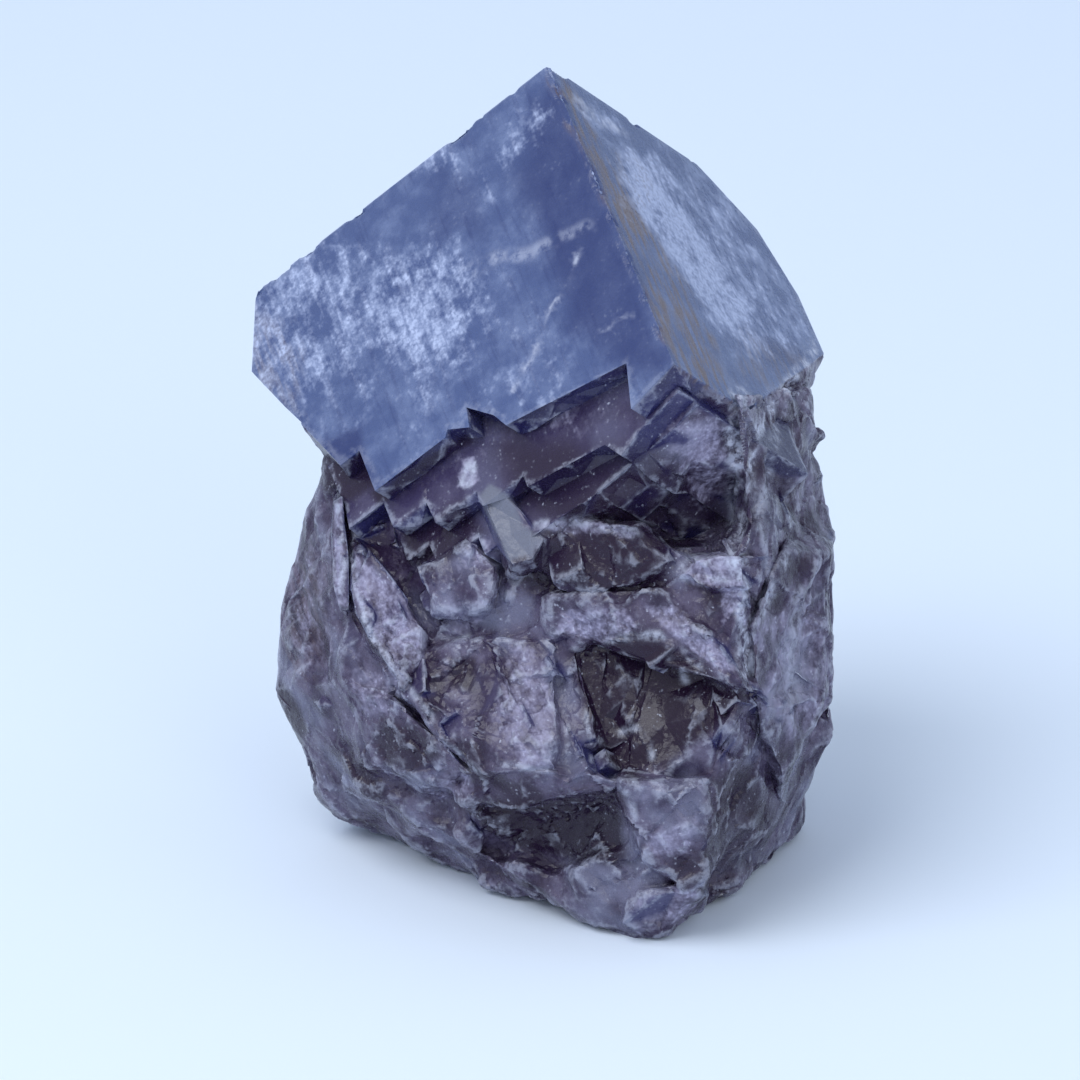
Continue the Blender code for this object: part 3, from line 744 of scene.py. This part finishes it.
def depth(nodes, broken):
    """How dark the colour is: the painted dark patches, and painted shade in the broken part's hollows."""
    # Painted shade: the broken faces darken where they lie below the broad surface
    shade_in_hollows = nodes.product(nodes.ramp(nodes.attribute("shade_in_hollows"), 0.2, -1.1), broken)
    return nodes.math("MAXIMUM", nodes.attribute("dark_and_shaded"), nodes.scaled(shade_in_hollows, 0.35))


def frosting(nodes, noise, dark_and_shaded):
    """How frosted each place is: by its painted veil and by noise, but not on the teeth's sides."""
    mottle = nodes.math("ADD", nodes.scaled(noise["middle"], 0.4), nodes.scaled(noise["fine"], 0.35))
    mottle = nodes.math("ADD", mottle, nodes.scaled(noise["streaks"], 0.25))
    uneven = nodes.math("SUBTRACT", mottle, 0.5)
    veil = nodes.math("MULTIPLY_ADD", uneven, 4.2, nodes.attribute("pale"))
    veil = nodes.math("SUBTRACT", veil, nodes.scaled(dark_and_shaded, 0.3))
    speckle = nodes.math("MULTIPLY_ADD", nodes.ramp(noise["grain"], 0.3, 0.65), 0.6, 0.5)
    frost = nodes.product(nodes.ramp(veil, 0.25, 1.2), speckle)
    return nodes.product(frost, nodes.math("MULTIPLY_ADD", nodes.attribute("side"), -0.8, 1.0))


def bright_marks(nodes, noise, cube_face, broken):
    """The whitest places: bruised edges, drawn lines, and small white flecks that are partly painted
    glints.
    """
    edge = nodes.ramp(nodes.attribute("edge"), 0.02, 0.14)
    edge = nodes.product(edge, nodes.ramp(noise["fine"], 0.35, 0.6))
    edge = nodes.product(edge, nodes.math("MULTIPLY_ADD", cube_face, -0.2, 0.42))
    line = nodes.product(nodes.attribute("line"), nodes.ramp(noise["fine"], 0.3, 0.6))
    # Small white dots: specks, and painted glints of light on tiny facets
    fleck_and_glint = nodes.ramp(noise["grain"], 0.63, 0.73)
    fleck_and_glint = nodes.product(fleck_and_glint, nodes.math("MULTIPLY_ADD", broken, 0.5, 0.2))
    fleck_and_glint = nodes.product(fleck_and_glint, nodes.ramp(noise["middle"], 0.4, 0.6))
    return nodes.math("MAXIMUM", nodes.math("MAXIMUM", edge, line), fleck_and_glint)


def add_surface(nodes, noise, frost):
    """The sheen, duller where it is frosted."""
    rough = nodes.math("MULTIPLY_ADD", frost, FROST_ROUGHNESS, CLEAR_ROUGHNESS)
    rough = nodes.math("MULTIPLY_ADD", noise["grain"], GRAIN_ROUGHNESS, rough)
    nodes.set(nodes.shader.inputs["Roughness"], rough)
    nodes.shader.inputs["IOR"].default_value = FLUORITE_IOR
    nodes.shader.inputs["Specular IOR Level"].default_value = SPECULAR_LEVEL


def add_clearness(nodes, frost, bright):
    """Some light passes where there is no frost, and turns violet on its way."""
    clear = nodes.math("SUBTRACT", 1.0, nodes.math("MAXIMUM", frost, bright))
    nodes.set(nodes.shader.inputs["Transmission Weight"], nodes.scaled(clear, TRANSMISSION))
    absorbing = nodes.tree.nodes.new("ShaderNodeVolumeAbsorption")
    absorbing.inputs["Color"].default_value = (*ABSORPTION, 1.0)
    absorbing.inputs["Density"].default_value = ABSORPTION_DENSITY
    nodes.tree.links.new(absorbing.outputs[0], nodes.output.inputs["Volume"])


def add_bump(nodes, noise, cube_face):
    """A fine grain, fainter on the cube faces and the flat steps."""
    bump = nodes.tree.nodes.new("ShaderNodeBump")
    even = nodes.math("MAXIMUM", cube_face, nodes.attribute("facet"))
    height = nodes.product(noise["fine"], nodes.math("MULTIPLY_ADD", even, -0.7, 1.0))
    nodes.set(bump.inputs["Height"], height)
    bump.inputs["Strength"].default_value = BUMP_STRENGTH
    bump.inputs["Distance"].default_value = BUMP_HEIGHT
    nodes.tree.links.new(bump.outputs[0], nodes.shader.inputs["Normal"])


def fluorite_material(frames):
    """Slate-blue cube faces with frosty veils; violet broken faces, frosted on their edges."""
    nodes = Nodes("fluorite_crystal")
    noise = noise_layers(nodes, crystal_turn(frames))
    cube_face = nodes.attribute("cube_face")
    broken = nodes.math("SUBTRACT", 1.0, cube_face)
    dark_and_shaded = depth(nodes, broken)
    frost = frosting(nodes, noise, dark_and_shaded)
    bright = bright_marks(nodes, noise, cube_face, broken)
    colour = body_colour(nodes, noise, cube_face, dark_and_shaded)
    colour = nodes.blend(frost, colour, nodes.blend(cube_face, LILAC, FROST))
    colour = nodes.blend(bright, colour, FROST_WHITE)
    colour = nodes.blend(nodes.attribute("flake"), colour, FLAKE)
    nodes.set(nodes.shader.inputs["Base Color"], colour)
    add_surface(nodes, noise, frost)
    add_clearness(nodes, frost, bright)
    add_bump(nodes, noise, cube_face)
    return nodes.material


def plain_material(name, colour, roughness):
    nodes = Nodes(name)
    nodes.shader.inputs["Base Color"].default_value = (*colour, 1.0)
    nodes.shader.inputs["Roughness"].default_value = roughness
    return nodes.material


# The studio


# The pale sheet, in metres: its half width, where it starts and bends up, the bend, and its top
SHEET_SIDE = 2.4
SHEET_START = -1.6
SHEET_BEND_AT = 0.9
SHEET_BEND = 0.7
SHEET_TOP = 2.6
SHEET_COLOUR = (0.72, 0.80, 0.92)

# The photograph's width in pixels, its scale, and how far off the camera stands
PHOTO_WIDTH = 1080
PIXELS_PER_MM = 8.2
CAMERA_DISTANCE = 950 * MM
SENSOR_WIDTH = 36.0

# The middle of the picture, in the view
PICTURE_MIDDLE = np.array([-1.0, 48.5, 0.0])


def backdrop():
    """A pale sheet that runs under the specimen and rises far behind it."""
    mesh = bpy.data.meshes.new("backdrop")
    profile = [(SHEET_START, 0.0), (SHEET_BEND_AT, 0.0)]
    for turn in np.linspace(0.1, math.pi / 2, 14):
        profile.append((SHEET_BEND_AT + SHEET_BEND * math.sin(turn), SHEET_BEND * (1 - math.cos(turn))))
    profile.append((SHEET_BEND_AT + SHEET_BEND, SHEET_TOP))
    points = [(side, y, z) for y, z in profile for side in (-SHEET_SIDE, SHEET_SIDE)]
    faces = [(2 * i, 2 * i + 1, 2 * i + 3, 2 * i + 2) for i in range(len(profile) - 1)]
    mesh.from_pydata(points, [], faces)
    for face in mesh.polygons:
        face.use_smooth = True
    made = bpy.data.objects.new("backdrop", mesh)
    bpy.context.scene.collection.objects.link(made)
    made.data.materials.append(plain_material("pale_sheet", SHEET_COLOUR, 0.9))


def add_camera(centre):
    """A long lens that frames the specimen as the photograph does."""
    camera = bpy.data.cameras.new("camera")
    camera.sensor_width = SENSOR_WIDTH
    camera.lens = SENSOR_WIDTH * CAMERA_DISTANCE / (PHOTO_WIDTH / PIXELS_PER_MM * MM)
    camera.clip_end = 20
    rig = bpy.data.objects.new("camera", camera)
    toward = Vector(VIEW_AXES[2])
    rotation = Matrix((Vector(VIEW_AXES[0]), Vector(VIEW_AXES[1]), toward)).transposed().to_4x4()
    rig.matrix_world = Matrix.Translation(Vector(centre) + toward * CAMERA_DISTANCE) @ rotation
    bpy.context.scene.collection.objects.link(rig)
    bpy.context.scene.camera = rig


def add_light(name, place, target, size, power, colour):
    lamp = bpy.data.lights.new(name, "AREA")
    lamp.shape = "DISK"
    lamp.size = size
    lamp.energy = power
    lamp.color = colour
    made = bpy.data.objects.new(name, lamp)
    made.location = place
    made.rotation_euler = (Vector(target) - Vector(place)).to_track_quat("-Z", "Y").to_euler()
    bpy.context.scene.collection.objects.link(made)


def add_world(colour, strength):
    world = bpy.data.worlds.new("sky")
    world.use_nodes = True
    background = world.node_tree.nodes["Background"]
    background.inputs["Color"].default_value = (*colour, 1.0)
    background.inputs["Strength"].default_value = strength
    bpy.context.scene.world = world


frames, points, triangles, marks = sculpt()
names = paint(frames, points, triangles, marks)
specimen = specimen_object(points, triangles, names)
specimen.data.materials.append(fluorite_material(frames))
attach(specimen, "root")
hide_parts("fluorite")

picture_middle = frames.tip + (PICTURE_MIDDLE - TIP) @ VIEW_AXES
add_camera((picture_middle * MM).tolist())
backdrop()
bpy.context.scene.view_settings.view_transform = "Standard"
add_world((0.82, 0.90, 1.0), 0.78)
add_light("overcast", (-0.5, -0.4, 1.0), (0, 0, 0.05), 0.9, 8.0, (0.94, 0.97, 1.0))
add_light("front", (0.5, -1.2, 0.5), (0, 0, 0.05), 0.8, 3.2, (0.95, 0.97, 1.0))
